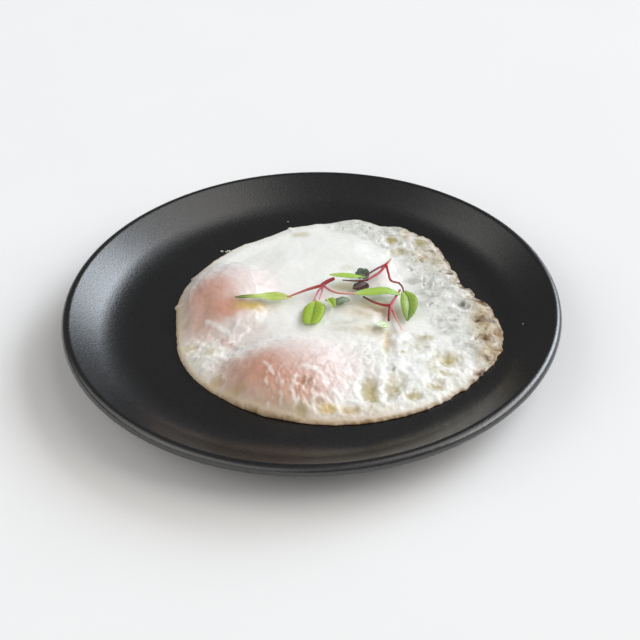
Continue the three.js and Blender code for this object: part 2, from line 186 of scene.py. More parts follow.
def line_distance(x, y, start, end):
    """Distance from a straight stretch between two points."""
    dx, dy = end[0] - start[0], end[1] - start[1]
    share = np.clip(((x - start[0]) * dx + (y - start[1]) * dy) / (dx * dx + dy * dy), 0, 1)
    return np.hypot(x - start[0] - share * dx, y - start[1] - share * dy)


def bumps(x, y, ovals):
    """The height of soft bumps, each given as middle, half-widths, turn and height."""
    return sum(by * np.exp(-spot_distance(x, y, *oval) ** 2) for *oval, by in ovals)


def ridges(x, y, lines):
    """The height of soft ridges, each given as both ends, half-width and height."""
    return sum(by * np.exp(-(line_distance(x, y, a, b) / width) ** 2) for a, b, width, by in lines)


def band(first, sides):
    """Faces between the ring of points that starts at first and the ring after it."""
    pairs = [(first + j, first + (j + 1) % sides) for j in range(sides)]
    return [(a, b, sides + b, sides + a) for a, b in pairs]


# ---- objects and materials


def placed(name, data):
    """A new object in the scene."""
    thing = bpy.data.objects.new(name, data)
    bpy.context.collection.objects.link(thing)
    return thing


def placed_mesh(name, points, faces):
    """A new mesh object from points in millimetres."""
    mesh = bpy.data.meshes.new(name)
    mesh.from_pydata((np.asarray(points) * MM).tolist(), [], faces)
    return placed(name, mesh)


def new_piece(name, points, faces, material, slot, *nodes):
    """A smooth piece that rides on the plate's body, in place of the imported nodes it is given."""
    piece = placed_mesh(name, points, faces)
    piece.data.validate()
    piece.data.polygons.foreach_set("use_smooth", [True] * len(piece.data.polygons))
    piece.data.materials.append(material)
    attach(piece, "root")
    if nodes:
        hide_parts(*nodes)
    return piece


def paint(piece, name, values):
    """Stores a number or a colour for each vertex."""
    kind, field = "FLOAT", "value"
    if values.ndim == 2:
        kind, field = "FLOAT_COLOR", "color"
        values = np.column_stack([values, np.ones(len(values))])
    layer = piece.data.attributes.new(name, kind, "POINT")
    layer.data.foreach_set(field, values.astype(np.float32).ravel())


class Finish:
    """A node material with its Principled shader and short ways to add nodes."""

    def __init__(self, name, **constants):
        self.material = bpy.data.materials.new(name)
        self.material.use_nodes = True
        self.tree = self.material.node_tree
        self.shader = self.tree.nodes["Principled BSDF"]
        self.connect(**constants)
        self.place = self.add("TexCoord").outputs["Object"]

    def feed(self, socket, source):
        """Gives a socket another node's output, a hex colour or a plain value."""
        if isinstance(source, bpy.types.NodeSocket):
            self.tree.links.new(source, socket)
        elif isinstance(source, str):
            socket.default_value = (*linear(source), 1)
        else:
            socket.default_value = source

    def connect(self, **sources):
        """Feeds the shader and returns the material."""
        for socket, source in sources.items():
            self.feed(self.shader.inputs[socket.replace("_", " ")], source)
        return self.material

    def add(self, kind, inputs=(), **settings):
        """A new shader node with its sockets fed and its settings made."""
        node = self.tree.nodes.new("ShaderNode" + kind)
        for setting, value in settings.items():
            setattr(node, setting, value)
        for socket, source in dict(inputs).items():
            self.feed(node.inputs[socket], source)
        return node

    def noise(self, size, detail=3.0, roughness=0.5):
        """Noise from 0 to 1 with bumps about size millimetres across."""
        inputs = {"Vector": self.place, "Scale": 1 / (size * MM)}
        inputs.update(Detail=detail, Roughness=roughness)
        return self.add("TexNoise", inputs).outputs["Fac"]

    def cells(self, size):
        """Distance from the middle of scattered cells about size millimetres across."""
        inputs = {"Vector": self.place, "Scale": 1 / (size * MM)}
        return self.add("TexVoronoi", inputs).outputs["Distance"]

    def attribute(self, name, output="Fac"):
        return self.add("Attribute", attribute_name=name).outputs[output]

    def ranged(self, source, low, high, to_low, to_high):
        """Stretches the numbers from low to high over the numbers from to_low to to_high."""
        inputs = {"Value": source, "From Min": low, "From Max": high, "To Min": to_low, "To Max": to_high}
        return self.add("MapRange", inputs).outputs["Result"]

    def maths(self, operation, *operands):
        return self.add("Math", enumerate(operands), operation=operation).outputs[0]

    def mix(self, share, first, second, blend="MIX"):
        """Mixes two colours, which a mix node takes at its sockets 6 and 7."""
        inputs = {0: share, 6: first, 7: second}
        return self.add("Mix", inputs, data_type="RGBA", blend_type=blend).outputs[2]

    def bump(self, height, depth, strength=1.0, under=None):
        """Bump whose height runs over depth millimetres, on top of another one."""
        inputs = {"Height": height, "Distance": depth * MM, "Strength": strength}
        if under is not None:
            inputs["Normal"] = under
        return self.add("Bump", inputs).outputs["Normal"]


# ---- plate

BEND_REACH = WALL_BEND * tan(WALL_SLOPE / 2)
BEND_START = WELL_BEND_RADIUS - BEND_REACH
BEND_END = WELL_BEND_RADIUS + BEND_REACH * cos(WALL_SLOPE)


def plate_top(radius):
    """Height of the plate's upper face at a distance from its axis."""
    in_bend = np.clip(radius - BEND_START, 0, BEND_END - BEND_START)
    bend = WELL_HEIGHT + WALL_BEND - np.sqrt(WALL_BEND ** 2 - in_bend ** 2)
    wall = WELL_HEIGHT + (radius - WELL_BEND_RADIUS) * tan(WALL_SLOPE)
    return np.where(radius < BEND_END, bend, wall)


def arc_points(centre_r, centre_z, radius, start, end, steps):
    """Points of a profile along an arc, its angles in degrees."""
    angles = np.radians(np.linspace(start, end, steps + 1))
    return [(centre_r + radius * cos(a), centre_z + radius * sin(a)) for a in angles]


def plate_profile():
    """The plate's half section, from the middle of its underside to the middle of its well."""
    thickness = 2 * LIP_RADIUS
    under = WELL_HEIGHT - thickness
    slope = degrees(WALL_SLOPE)
    bend_z = WELL_HEIGHT + WALL_BEND
    lip_r = PLATE_RADIUS - LIP_RADIUS
    lip_z = PLATE_HEIGHT - LIP_RADIUS
    foot_in = FOOT_RADIUS - FOOT_WIDTH / 2
    foot_out = FOOT_RADIUS + FOOT_WIDTH / 2
    fillet = FOOT_FILLET
    return [
        *[(r, under) for r in (8, 20, 32, 44, 52)],
        *arc_points(foot_in - fillet, under - fillet, fillet, 90, 0, 4),
        *arc_points(foot_in + fillet, fillet, fillet, 180, 270, 4),
        *arc_points(foot_out - fillet, fillet, fillet, 270, 360, 4),
        *arc_points(foot_out + fillet, under - fillet, fillet, 180, 90, 4),
        (68, under),
        (74, under),
        *arc_points(BEND_START, bend_z, WALL_BEND + thickness, -90, slope - 90, 18),
        *arc_points(lip_r, lip_z, LIP_RADIUS, slope - 90, slope + 90, 24),
        *arc_points(BEND_START, bend_z, WALL_BEND, slope - 90, -90, 24),
        *[(r, WELL_HEIGHT) for r in (74, 68, 60, 50, 40, 30, 20, 10)],
    ]


def plate_material():
    """Black stoneware under a satin glaze, worn to bare clay where the foot stands."""
    glaze = Finish("satin_black_glaze", IOR=1.85)
    clouds = glaze.noise(14, detail=4)
    speckle = glaze.noise(0.7, detail=2)
    grain = glaze.noise(0.8, detail=2, roughness=0.6)
    body = glaze.mix(glaze.ranged(clouds, 0.3, 0.7, 0, 1), "0c0c0d", "111112")
    flecks = glaze.ranged(speckle, 0.62, 0.78, 0, 0.15)
    glazed = glaze.mix(flecks, body, "222324")
    height = glaze.add("SeparateXYZ", {0: glaze.place}).outputs["Z"]
    bare = glaze.ranged(height, 0.9 * MM, 0.3 * MM, 0, 1)
    colour = glaze.mix(bare, glazed, "4a4541")
    gloss = glaze.ranged(speckle, 0.3, 0.75, 0.26, 0.34)
    roughness = glaze.maths("ADD", gloss, glaze.maths("MULTIPLY", bare, 0.35))
    waves = glaze.bump(glaze.noise(5, detail=2), 0.03, 0.5)
    normal = glaze.bump(grain, 0.07, 1.0, waves)
    return glaze.connect(Base_Color=colour, Roughness=roughness, Normal=normal)


def build_plate():
    """The plate turned from its profile, closed at the axis above and below."""
    profile = plate_profile()
    sides = PLATE_SEGMENTS
    around = np.arange(sides) * tau / sides
    points = [(0, 0, profile[0][1])]
    for r, z in profile:
        points += [(r * cos(a), r * sin(a), z) for a in around]
    points.append((0, 0, WELL_HEIGHT))
    last = 1 + (len(profile) - 1) * sides
    faces = []
    for first in range(1, last, sides):
        faces += band(first, sides)
    for j in range(sides):
        k = (j + 1) % sides
        faces.append((0, 1 + k, 1 + j))
        faces.append((last + j, last + k, len(points) - 1))
    new_piece("glazed_plate", points, faces, plate_material(), "stoneware", "plate")


# ---- outline and form of the eggs

# Swells and notches of the outline: bearing and reach in degrees, and how much.
OUTLINE_SWELLS = [(24, 24, -13.5), (140, 45, -4), (187, 14, -2.5)]
OUTLINE_NICKS = [
    (92.5, 2.6, -1.3), (107, 0.8, 1.4), (174, 0.9, 0.9), (156, 0.8, 0.9), (100, 2, -0.5), (118, 9, -2.2),
    (72, 6, -1.6), (50, 6, 1), (19, 3.6, -2.4), (9, 4, -2.8), (-2, 2.4, -2.2), (-22, 6, 0.8),
    (272, 55, -1.2), (81, 7, 1.9), (65, 4, 1.1), (-9, 3, -1.3),
]
CRAG_WAVES = [(31, 0.5, 0.4), (47, 0.45, 2.1)]
LACE_MIDDLE = 5
LACE_REACH = 75

# Thickness of the sheet of white, then the thick white that lies on it: middle, half-widths,
# height and how soft its edge is.
SHEET_THICKNESS = 2.4
THICK_WHITE = [(2, 19, 43, 49, 2.6, 0.2), (38, -35, 38, 34, 1.6, 0.8), (-18, -11, 56, 68, 2.2, 0.4)]
YOLK_LEFT = (-36, 12.5, 26, 32)
YOLK_FRONT = (-11, -40, 31, 28.5)
YOLK_RISES = [(YOLK_LEFT, 11.2), (YOLK_FRONT, 10.8)]
YOLK_FULLNESS = 1.2
YOLK_BASE = 2.6
YOLK_BLEND = 1.6

# Dents where steam lifted the white: middle, half-widths, turn if there is one, and depth.
DENTS = [
    (25, -53, 5, 7, 20, 1.3), (35, -46, 4.5, 8, -15, 1.4), (60, -34, 4.5, 5.5, 20, 1.2),
    (57, -43, 3.5, 3, 0.8), (45, -17.5, 4.5, 3, 0.9), (51, -28, 5, 4, 0.8), (15.5, -63, 4, 3.5, 0.9),
    (5, -63.5, 3.5, 3.5, 0.9), (52, 55, 5, 5, 1), (42, 47, 5, 4, 0.9), (39, 58, 3.5, 3.5, 1),
    (10, -5, 14, 5, 0.9), (33.5, -25, 2.8, 14, 0.8), (67.5, 6.5, 3, 3, 1.1), (-37, -26, 4, 3.5, 0.8),
    (-50, -24, 3.5, 3, 0.9),
]

# Folds and strands that stand up from the white: both ends, half-width and height.
FOLDS = [
    ((-36, -19), (-24, -1), 3.5, 1), ((28, -59), (30, -43), 2.4, 0.8),
    ((-46, -39), (-44, -27), 4, 1.1), ((36, -37), (38.5, -16), 2.2, 0.6),
]

# Smaller pockets of the lumpy white, given in the same way.
POCKETS = [
    (31.5, -54.5, 3.4, 4.6, -15, 1.2), (42, -56.5, 3.4, 2.8, 1), (52, -50, 3.6, 3, 20, 0.9),
    (55.5, -30.5, 4.6, 3.6, -30, 0.7), (46.8, -23, 4, 3, 0.6), (54.5, -38, 3.4, 3, 0.6),
    (-44, -25.4, 3, 2.4, 0.7), (-53, -21, 3, 2.2, 20, 0.6), (-41, -45.5, 3, 2.4, 0.6),
    (67.4, 8.9, 2, 1.4, 1),
]
LACE_LUMPS = 46
LACE_SEED = 11


def egg_point(bearing, reach):
    """The point at a bearing and a distance from the middle of the eggs."""
    angle = np.radians(bearing)
    return EGG_CENTRE[0] + reach * np.cos(angle), EGG_CENTRE[1] + reach * np.sin(angle)


def egg_bearing(x, y):
    """Bearing of a point from the middle of the eggs, and its distance."""
    dx, dy = x - EGG_CENTRE[0], y - EGG_CENTRE[1]
    return np.degrees(np.arctan2(dy, dx)), np.hypot(dx, dy)


def lace_share(bearing):
    """1 in the middle of the lacy side, 0 away from it."""
    return 1 - ramp(LACE_REACH * 0.6, LACE_REACH, turn_from(bearing, LACE_MIDDLE))


def swells(bearing, places):
    """How far the outline is pushed out, for places given as bearing, reach and amount."""
    return sum(by * np.exp(-(turn_from(bearing, at) / reach) ** 2) for at, reach, by in places)


def outline_radius(bearing, waves=1.0):
    """Radius of the eggs' outline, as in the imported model."""
    radius = EGG_RADIUS + swells(bearing, OUTLINE_SWELLS)
    for count, by, phase in CRAG_WAVES:
        crags = np.sin(np.radians(bearing * count) + phase)
        radius = radius + waves * by * (0.3 + lace_share(bearing)) * crags
    return radius


def fine_outline(bearing):
    """The outline with its nicks, flaps and crags."""
    radius = outline_radius(bearing, 0.25) + swells(bearing, OUTLINE_NICKS)
    x = EGG_RADIUS * np.cos(np.radians(bearing))
    y = EGG_RADIUS * np.sin(np.radians(bearing))
    rough = 0.3 + 0.7 * lace_share(bearing)
    crags = 0.9 * ripple(x, y, 7, 71) + 0.6 * ripple(x, y, 3.4, 72) + 0.3 * ripple(x, y, 1.5, 73)
    return radius + rough * crags


def lace_lumps():
    """Lumps scattered over the lacy side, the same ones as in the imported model."""
    draw = seeded_random(LACE_SEED)
    lumps = []
    for _ in range(LACE_LUMPS):
        bearing = LACE_MIDDLE + (2 * draw() - 1) * LACE_REACH
        reach = outline_radius(np.float64(bearing)) * (0.62 + 0.34 * draw())
        x, y = egg_point(bearing, reach)
        rx, ry = 2.4 + 2.2 * draw(), 2.4 + 2.2 * draw()
        turn = 180 * draw()
        lumps.append((x, y, rx, ry, turn, 1.1 * (draw() - 0.45)))
    return lumps


def plain_thickness(x, y, easing=0.0):
    """Thickness of the white and the yolks before dents and folds, the left steps eased."""
    thick = SHEET_THICKNESS + 0 * x
    for mid_x, mid_y, rx, ry, by, soft in THICK_WHITE:
        eased = soft + easing * (0.35 + 0.65 * ramp(24, -8, x))
        thick = thick + by * ramp(1, 1 - eased, spot_distance(x, y, mid_x, mid_y, rx, ry))
    for yolk, rise in YOLK_RISES:
        reach = spot_distance(x, y, *yolk)
        dome = YOLK_BASE + rise * (1 - np.minimum(reach, 1) ** 2) ** YOLK_FULLNESS
        thick = smooth_max(thick, dome, YOLK_BLEND * ramp(1.15, 0.9, reach))
    return thick


def rounded(thick, edge, inward, reach):
    """Rounds a thickness down to its edge at the outline."""
    round_off = 1 - np.clip(inward / reach, 0, 1)
    return edge + (thick - edge) * np.sqrt(1 - round_off ** 2)


def cad_top(x, y):
    """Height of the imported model's eggs, which the garnish lies on."""
    thick = plain_thickness(x, y) - bumps(x, y, DENTS) + ridges(x, y, FOLDS) + bumps(x, y, LACE)
    bearing, reach = egg_bearing(x, y)
    inward = outline_radius(bearing) - reach
    top = rounded(np.maximum(thick, LEAST_THICKNESS), EDGE_THICKNESS, inward, RIM_ROUND)
    return plate_top(np.hypot(x, y)) + SEAT_GAP + top


LACE = lace_lumps()

# ---- fine relief of the eggs


def lace_zone(x, y):
    """1 in the thin, bubbled white on the right, 0 in the smooth white."""
    edge = 46 + 0.006 * np.maximum(25 - y, 0) ** 2 + 2.5 * ripple(x, y, 9, 21)
    right = ramp(-3, 6, x - edge) * ramp(48, 36, y)
    step = spot_distance(x, y, *THICK_WHITE[0][:4]) + 0.04 * ripple(x, y, 8, 22)
    back = ramp(0.98, 1.08, step) * ramp(4, 14, x) * ramp(18, 34, y)
    return np.maximum(right, back)


# Lumpy white: middle, half-widths, turn if there is one, and where it ends and is at its full.
CURDS = [(36, -42, 40, 28, 1.15, 0.7), (-46, -32, 14, 20, 1.2, 0.8), (0, -61, 38, 9, 4, 1.25, 0.9)]


def curd_zone(x, y):
    """1 in the lumpy white in front, 0 elsewhere."""
    return np.max([ramp(end, full, spot_distance(x, y, *oval)) for *oval, end, full in CURDS], axis=0)


# Fine strands of white that lie on the film: their points, half-width and height.
STRANDS = [
    ([(-27.6, 24.5), (-26.6, 20), (-25.6, 15.7), (-24.2, 8.8)], 0.55, 0.45),
    ([(-37.9, 20.6), (-34.5, 17.5), (-31.4, 15.9)], 0.6, 0.3),
    ([(-46, -8), (-40, -11.5), (-36.6, -14.6), (-34.6, -20)], 0.9, 0.6),
    ([(-31.5, -8.5), (-34, -13.5), (-34.6, -20)], 0.8, 0.55),
    ([(-27.5, -12), (-30.5, -16), (-33.5, -22)], 0.7, 0.45),
    ([(-4, -46.2), (0, -46.6), (3.6, -49.2), (6.4, -53)], 0.8, 0.6),
    ([(40.8, -14.6), (38.4, -19), (35.9, -23.3), (34.5, -30.1), (34.4, -37)], 1.1, 0.9),
    ([(-20.5, -43), (-18, -45.8), (-16.6, -49)], 0.7, 0.45),
    ([(-8, -52), (-8.6, -58), (-7.6, -63)], 0.7, 0.5),
    ([(-13.6, -50), (-12.8, -54.6)], 0.6, 0.4),
    ([(0.6, -53), (0, -58.4)], 0.6, 0.4),
    ([(9.5, -56), (13, -59.6), (18.5, -60)], 1.2, 0.7),
    ([(20, -46), (18.6, -52), (19.6, -58)], 1.2, 0.7),
    ([(29.6, -44), (28.4, -52), (30.8, -60)], 1.2, 0.8),
    ([(38, -40), (42, -47), (40.5, -54)], 1.2, 0.6),
    ([(52, -36), (55, -38.6), (61, -40.5)], 1.2, 0.8),
    ([(43, -12.5), (49.5, -13.4), (56, -17), (60, -22)], 1.6, 0.45),
    ([(48.8, -48), (55, -49), (60, -52)], 1.2, 0.6),
]


def strand_height(x, y):
    """Height of the highest strand at each point."""
    total = 0 * x
    for path, width, by in STRANDS:
        reach = np.min([line_distance(x, y, a, b) for a, b in zip(path, path[1:])], axis=0)
        total = np.maximum(total, by * np.exp(-(reach / (1.35 * width)) ** 2))
    return total


def film_share(x, y, yolk):
    """1 over a yolk, 0 outside, with a soft uneven edge."""
    reach = spot_distance(x, y, *yolk) + 0.05 * ripple(x, y, 9, 31) + 0.03 * ripple(x, y, 4, 32)
    return ramp(1.04, 0.72, reach)


def fine_thickness(x, y):
    """Thickness of the eggs with every dent, crater, wrinkle and strand, and the parts it is made of."""
    warp_x, warp_y = warped(x, y, 1, (0.9, 5), (0.35, 2))
    rough_x, rough_y = warped(x, y, 16, (1.8, 5.5), (0.8, 2.4))
    far_x, far_y = warped(x, y, 85, (2.2, 4), (0.8, 1.8))
    flat, bent = partial(ripple, x, y), partial(ripple, warp_x, warp_y)
    lace = lace_zone(x, y)
    curd = curd_zone(x, y) * (1 - lace)
    left = film_share(x, y, YOLK_LEFT)
    front = film_share(x, y, YOLK_FRONT)
    hollow = brim = 0
    for *oval, by in DENTS + POCKETS:
        reach = spot_distance(rough_x, rough_y, *oval)
        hollow = hollow + by * np.exp(-reach ** 3)
        brim = brim + by * np.exp(-((reach - 1.4) / 0.25) ** 2)
    thick = plain_thickness(warp_x, warp_y, 0.35) - hollow + 0.12 * brim
    thick = thick + 0.7 * ridges(warp_x, warp_y, FOLDS) + bumps(x, y, LACE)
    # Lace: craters and fine pits with a web of raised strands between them.
    craters = pits(far_x, far_y, 6.2, 5, 0.5, 0.12, 0.34)
    fine_pits = pits(far_x, far_y, 2.6, 9, 0.55, 0.14, 0.38)
    web = ramp(0.3, 0, np.abs(ripple(far_x, far_y, 4.4, 91)))
    web = np.maximum(web, 0.7 * ramp(0.3, 0, np.abs(bent(2.4, 92))))
    grain = flat(1.3, 43) + 0.5 * flat(0.9, 44)
    relief = lace * (0.55 * craters + 0.2 * fine_pits + 0.1 * web + 0.3 * flat(5, 47) + 0.04 * grain)
    # Curds: lumps with bubbles that burst in them.
    lumps = bent(7.5, 45) + 0.5 * flat(3.4, 46)
    bubbles = pits(far_x, far_y, 3.3, 13, 0.4) + 0.6 * pits(far_x, far_y, 1.9, 14, 0.4)
    relief += curd * (0.36 * lumps + 0.08 * grain + 0.2 * bubbles + 0.24 * bent(2.3, 15))
    # The film over the yolks, wrinkled at the foot of the front one, and the smooth white.
    wrinkled = front * ramp(-34, -50, y) * ramp(-26, -16, x) * ramp(14, 2, x)
    wrinkles = bent(2.1, 41, 2, 75) + 0.6 * flat(1.3, 42, 1.6, 100)
    relief += wrinkled * 0.18 * wrinkles + front * (0.05 * grain + 0.05 * flat(2.4, 51))
    relief += left * 0.02 * flat(3.2, 48, 2, 60)
    relief += (1 - lace) * (0.12 * flat(8, 49) + 0.06 * bent(2.8, 50) + 0.02 * grain)
    strands = strand_height(warp_x, warp_y)
    parts = dict(lace=lace, brim=brim, craters=craters, fine_pits=fine_pits, web=web,
                 wrinkles=wrinkles * wrinkled, strands=strands)
    return thick + relief + 0.32 * strands, parts


# ---- colours of the eggs

WHITE = linear("f8f8f5")
COOL_WHITE = linear("eef0ea")
LACE_GREY = linear("b7b7b0")
LACE_DARK = linear("7d796d")
CRISP_TAN = linear("c2aa78")
BEIGE = linear("d6c5a8")
LILAC = linear("e4cdca")
SALMON = linear("cf937a")
ROSE_TAN = linear("c79d8b")
YOLK_YELLOW_AND_LEAF_LIGHT = linear("d2b44e")
TAN_AND_SHADE = linear("c2a976")
OLIVE = linear("b0a168")
BROWN = linear("8c5a22")
NICK_GREEN = linear("5d6a4c")
ROSE_GREY = linear("cdbdb6")
POCKET_GREY_AND_SHADE = linear("ccc9b9")
RUST = linear("9a6c2c")
PIT_BROWN = linear("5f5343")

# What toasting leaves of the colour under it, where it is light and where it is darkest.
TOAST = linear("b08c50")
CHAR = linear("70482a")

# Stains, and a few marks of painted shade and painted light: colour, middle, half-widths, turn if there
# is one, and strength.
STAINS_AND_PAINTED_LIGHT = [
    (LILAC, -33, 14, 20, 22, 0.7), (ROSE_TAN, -47, 2, 13, 20, -8, 0.45),
    (SALMON, -46, 7, 11, 13, -15, 0.68), (SALMON, -37, -2.5, 10, 5.5, 10, 0.85),
    (ROSE_TAN, -49, -10, 9, 9, 0.6), (ROSE_GREY, -31, -18, 14, 9, 0.7),
    # The yellow at -26.5, -0.4 is painted light: the yellow-green light that leaf_a_long lets through,
    # painted on the white just in front of it.
    (YOLK_YELLOW_AND_LEAF_LIGHT, -26.5, -0.4, 7, 3, 8, 0.85), (BEIGE, -60.5, 8, 3.6, 26, 6, 0.5),
    (CRISP_TAN, 77, -8, 7, 21, 0.6), (CRISP_TAN, 76, -28, 5, 7, -30, 0.5),
    (CRISP_TAN, 58, 48, 10, 14, 30, 0.35), (LILAC, 0, -39, 24, 19, 0.7), (ROSE_TAN, -9, -50, 21, 15, 0.6),
    (SALMON, -23, -47, 12, 13, 0.85), (SALMON, -8, -55, 13, 8, 0.65),
    (ROSE_TAN, -34, -45, 9, 13, 15, 0.75), (BEIGE, -16, -63, 24, 6, -12, 0.75),
    (BEIGE, 14, -66, 22, 5, 3, 0.6), (SALMON, -36, -20, 4, 3, 0.5), (TAN_AND_SHADE, -33, -53, 5, 3.4, 0.7),
    (TAN_AND_SHADE, -41, -45.7, 4, 3.4, 0.7), (ROSE_GREY, -42, -35, 5, 8, 0.45), (SALMON, -13, -60, 12, 3, 0.45),
    # The tan at 16.3, 18.1 is painted shade under leaf_b_top.
    (BROWN, -2.2, -53, 2.8, 2.2, 20, 0.6), (BROWN, 3, -59.8, 2, 1.6, 0.45), (TAN_AND_SHADE, 16.3, 18.1, 7, 4, 0.6),
    # The tan at 28, 0.5 is partly a real stain and partly painted shadow of the sprigs over it; the grey
    # at 20, -11.5 is painted shade in the hollow under the sprigs.
    (TAN_AND_SHADE, 28, 0.5, 13, 6.5, 0.68), (POCKET_GREY_AND_SHADE, 20, -11.5, 13, 5.5, 0.8), (BEIGE, 27, -12.5, 9, 4, 0.55),
    (ROSE_GREY, -28, -10.5, 8, 4, 0.6), (POCKET_GREY_AND_SHADE, -52, -28, 7, 8, 20, 0.5),
    (POCKET_GREY_AND_SHADE, 63, -47, 9, 6, 40, 0.6), (ROSE_GREY, 10, -68, 26, 4, 0.45),
    (BROWN, 29.7, 1, 4, 1.8, 0.3), (TAN_AND_SHADE, 32.6, -20, 2.6, 8, -8, 0.7),
    (NICK_GREEN, 34.2, -38, 0.8, 3, 0.9), (TAN_AND_SHADE, 38.6, -28.4, 2.2, 1.8, 0.75),
    (OLIVE, 50, -16.8, 4.2, 2.8, 0.75), (POCKET_GREY_AND_SHADE, 46, -23, 7, 5, 0.85),
    (OLIVE, 54.5, -37.5, 6, 5, 0.6), (OLIVE, 57.8, -32.6, 5.4, 5.6, -20, 0.9),
    (OLIVE, 56.2, -41.6, 3.4, 2.2, 0.8), (OLIVE, 52, -50, 4.4, 3.4, 20, 0.75),
    (OLIVE, 24.6, -53.4, 5.8, 8.6, 14, 0.9), (OLIVE, 32.2, -51.5, 4.8, 9, -14, 0.95),
    (OLIVE, 42, -56, 3.8, 3.6, 0.85), (TAN_AND_SHADE, 15, -63.7, 4, 3, 0.75), (YOLK_YELLOW_AND_LEAF_LIGHT, 6.5, -63.4, 4, 3, 0.7),
    (OLIVE, -5, -65.5, 3, 2.4, 0.7), (TAN_AND_SHADE, -53, -21, 4, 3, 10, 0.65), (OLIVE, -44, -25.4, 4, 3, 0.65),
    (NICK_GREEN, 67.3, 8.9, 2.2, 1.6, 0.75), (BROWN, 64.2, 32.2, 1.2, 1, 0.7),
    (OLIVE, 38.9, 60.3, 2.6, 3, 0.9), (OLIVE, 41.8, 50.4, 4, 3.4, 0.55), (OLIVE, 52.2, 58.5, 3, 4.2, 0.8),
    (NICK_GREEN, 51.4, 57.6, 2.8, 2.4, 0.3), (TAN_AND_SHADE, 46.2, 61.7, 2.4, 2.6, 0.6),
    (BROWN, 53, 45.1, 1.2, 1.4, 0.5), (TAN_AND_SHADE, 49.2, 48.8, 2, 1.8, 0.6), (OLIVE, -5, 66.3, 4, 2.4, 0.5),
    (OLIVE, 16.7, 34, 4, 3, 0.25), (TAN_AND_SHADE, 45.6, 67.2, 2.4, 1.8, 0.65), (TAN_AND_SHADE, 52.7, 44, 2.4, 2, 0.6),
    (LACE_GREY, 47.3, 26.1, 4, 3, 0.8), (RUST, 76.4, 8.8, 2.8, 2, 0.9), (RUST, 82, -13.6, 2, 2.8, 0.95),
    (RUST, 71.2, -40.8, 2.6, 2, 30, 0.95), (RUST, 60.5, 51.2, 1.5, 1.3, 0.7),
    (RUST, 57, 58.6, 1.6, 1.2, 0.55), (RUST, 75.4, -17.4, 2.4, 1.8, 0.5),
    (PIT_BROWN, 80.2, -4.7, 1.6, 1.6, 0.8), (PIT_BROWN, 72.9, -4.9, 1.8, 1.2, 0.7),
    (PIT_BROWN, 57.3, 49.9, 1.8, 1.3, 0.5), (PIT_BROWN, 64.2, 31.4, 1.3, 1.1, 0.75),
]

# Browned places near the rim: middle, half-width and strength.
SCORCHES = [
    (76.5, 10.6, 4, 0.85), (75.5, -3.5, 5, 0.6), (72.8, -5.6, 1.2, 0.8), (76, -18.3, 4, 0.6),
    (75, -30.8, 3.6, 0.6), (72.4, -40.6, 2.2, 0.9), (69, -46, 3, 0.7), (70.6, 19.9, 3, 0.6),
    (67.7, 24.5, 1.4, 0.9), (64.5, 31.3, 1.2, 0.9), (63, 43.8, 1.6, 0.8), (61.1, 55.8, 1.8, 0.95),
    (58.4, 60.7, 2.2, 0.8), (57, 50.2, 1.4, 0.6), (42.1, 74.8, 2.4, 0.7), (29.3, 80, 3, 0.6),
    (22.4, -71.4, 3, 0.6), (34, -69, 3, 0.6), (40.3, -66.8, 3, 0.8), (46.2, -64.2, 3.2, 0.8),
    (57, -57.5, 3, 0.5), (-62, -3, 1, 0.4),
]


def blended(colour, other, share):
    """A colour moved towards another one, by a share for each point."""
    return colour + (other - colour) * np.clip(share, 0, 1)[:, None]


def toasted(colour, share, toast):
    """A colour darkened towards its toasted tone, by a share for each point."""
    return colour * (1 - np.clip(share, 0, 1)[:, None] * (1 - toast))


def egg_colours(x, y, inward, parts):
    """The colour of the eggs' surface at each point."""
    warp_x, warp_y = warped(x, y, 61, (1.1, 4), (0.5, 1.6))
    flat, bent = partial(ripple, x, y), partial(ripple, warp_x, warp_y)
    colour = blended(WHITE, COOL_WHITE, 0.5 + 0.5 * flat(12, 65))
    lace = parts["lace"]
    mottle = 0.5 + 0.8 * bent(4, 66) + 0.4 * flat(1.8, 67)
    patches = 0.55 + 0.45 * ramp(-0.5, 0.5, bent(9, 74))
    greyed = lace * patches * (0.35 + 0.85 * mottle) * (1 - 0.5 * parts["web"])
    colour = blended(colour, LACE_GREY, greyed)
    deep = np.clip(-parts["craters"], 0, 1) * 0.5 + np.clip(-parts["fine_pits"] - 0.5, 0, 1) * 0.3
    colour = blended(colour, LACE_DARK, 0.7 * lace * deep)
    # Stains, and the painted shade and painted light that the list marks.
    for stain_and_painted_light, *oval, strength in STAINS_AND_PAINTED_LIGHT:
        reach = spot_distance(warp_x, warp_y, *oval)
        colour = blended(colour, stain_and_painted_light, strength * np.exp(-reach ** 3))
    pale = ramp(0.1, 0.8, parts["wrinkles"]) + ramp(0.1, 0.5, parts["strands"])
    pale = pale + 0.7 * ramp(0.2, 0.7, parts["brim"])
    colour = blended(colour, WHITE, 0.5 * pale)
    rim = ramp(4.5, 0.5, inward)
    bearing, _ = egg_bearing(x, y)
    lower_left = ramp(95, 60, turn_from(bearing, 215))
    colour = blended(colour, BEIGE, rim * (0.15 + 0.6 * lower_left))
    freckles = 0.45 + 0.8 * bent(2.4, 68) + 0.6 * flat(1.1, 70)
    crisp = ramp(48, 20, turn_from(bearing, 2))
    colour = toasted(colour, 0.8 * ramp(12, 1, inward) * crisp * freckles, TOAST)
    edge_line = ramp(2.2, 0.3, inward) * (0.45 + 0.55 * ramp(125, 70, turn_from(bearing, -30)))
    colour = toasted(colour, edge_line * (0.6 + 0.5 * bent(2.2, 69)), TOAST)
    for mid_x, mid_y, reach, strength in SCORCHES:
        near = np.exp(-(np.hypot(warp_x - mid_x, warp_y - mid_y) / (0.75 * reach)) ** 2)
        colour = toasted(colour, strength * near * (0.5 + freckles), TOAST)
        colour = toasted(colour, 0.8 * strength * near ** 2, CHAR)
    return np.clip(colour, 0, 1)


